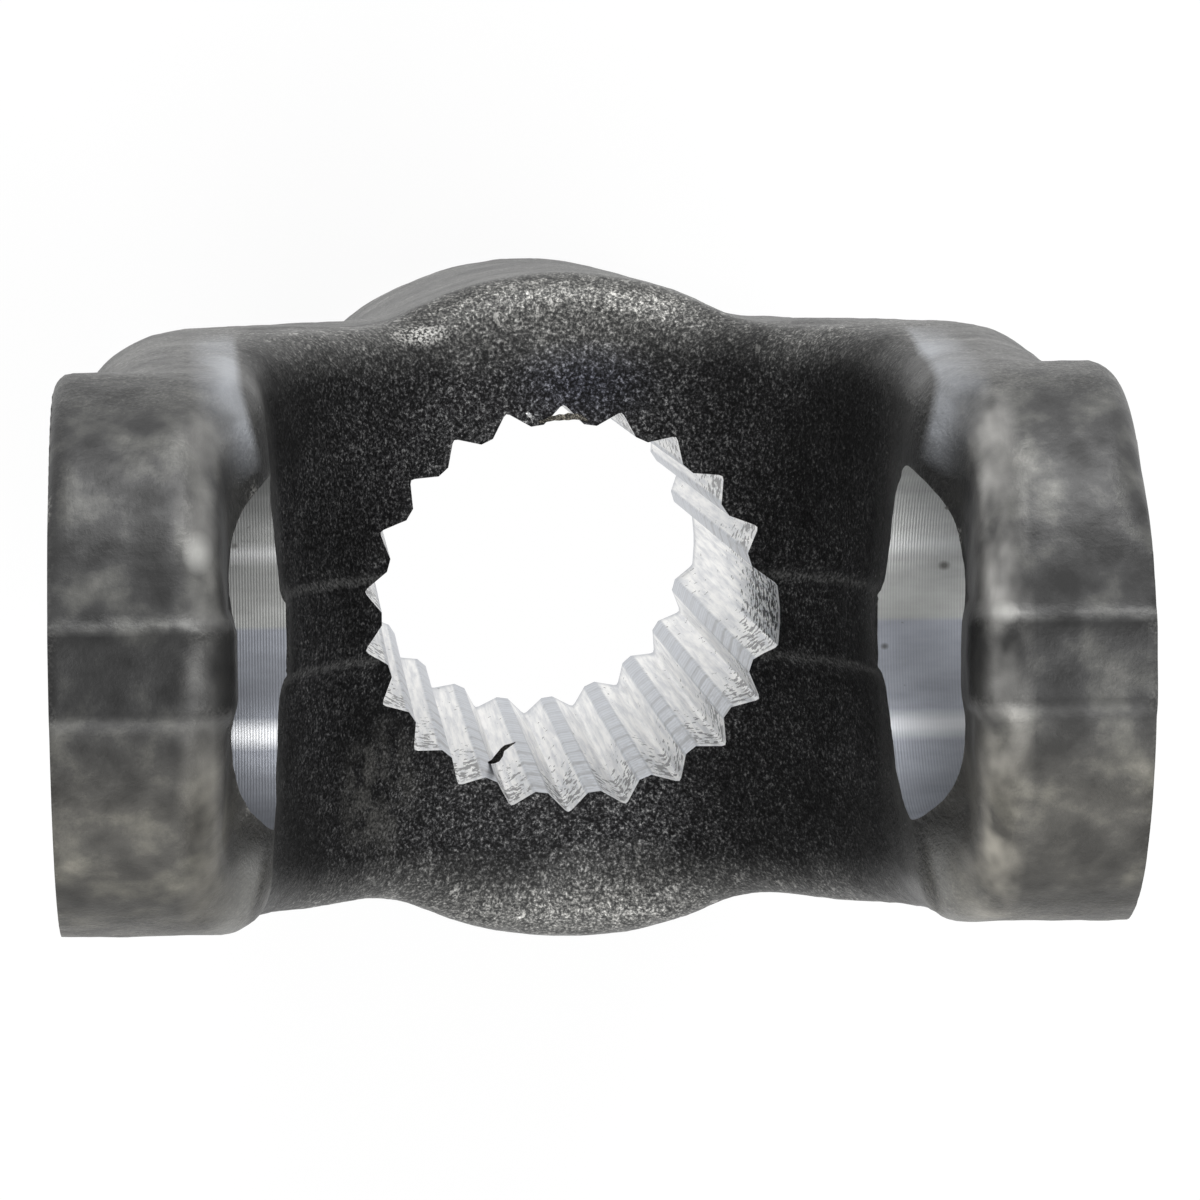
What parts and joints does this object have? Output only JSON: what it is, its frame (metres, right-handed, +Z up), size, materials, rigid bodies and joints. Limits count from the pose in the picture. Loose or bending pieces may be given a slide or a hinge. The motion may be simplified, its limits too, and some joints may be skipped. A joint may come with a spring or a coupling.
{
  "type": "forged universal joint yoke",
  "caption": "Forged steel yoke: a long hub with a serrated through bore, a curved crotch and two ears with a cross bore for bearing cups.",
  "frame": {"origin": "centre of the hub's flat end, at the bottom", "axes": "+Z up the hub's axis to the ears, +X from ear to ear along the cross bore, Y = 0 is the parting plane of the forging"},
  "size_m": [0.0714, 0.0492, 0.1462],
  "materials": {
    "forged_steel": "shot-blasted dark forging skin, bores machined bright"
  },
  "bodies": {
    "root": {"yoke": "forged_steel"}
  },
  "joints": []
}
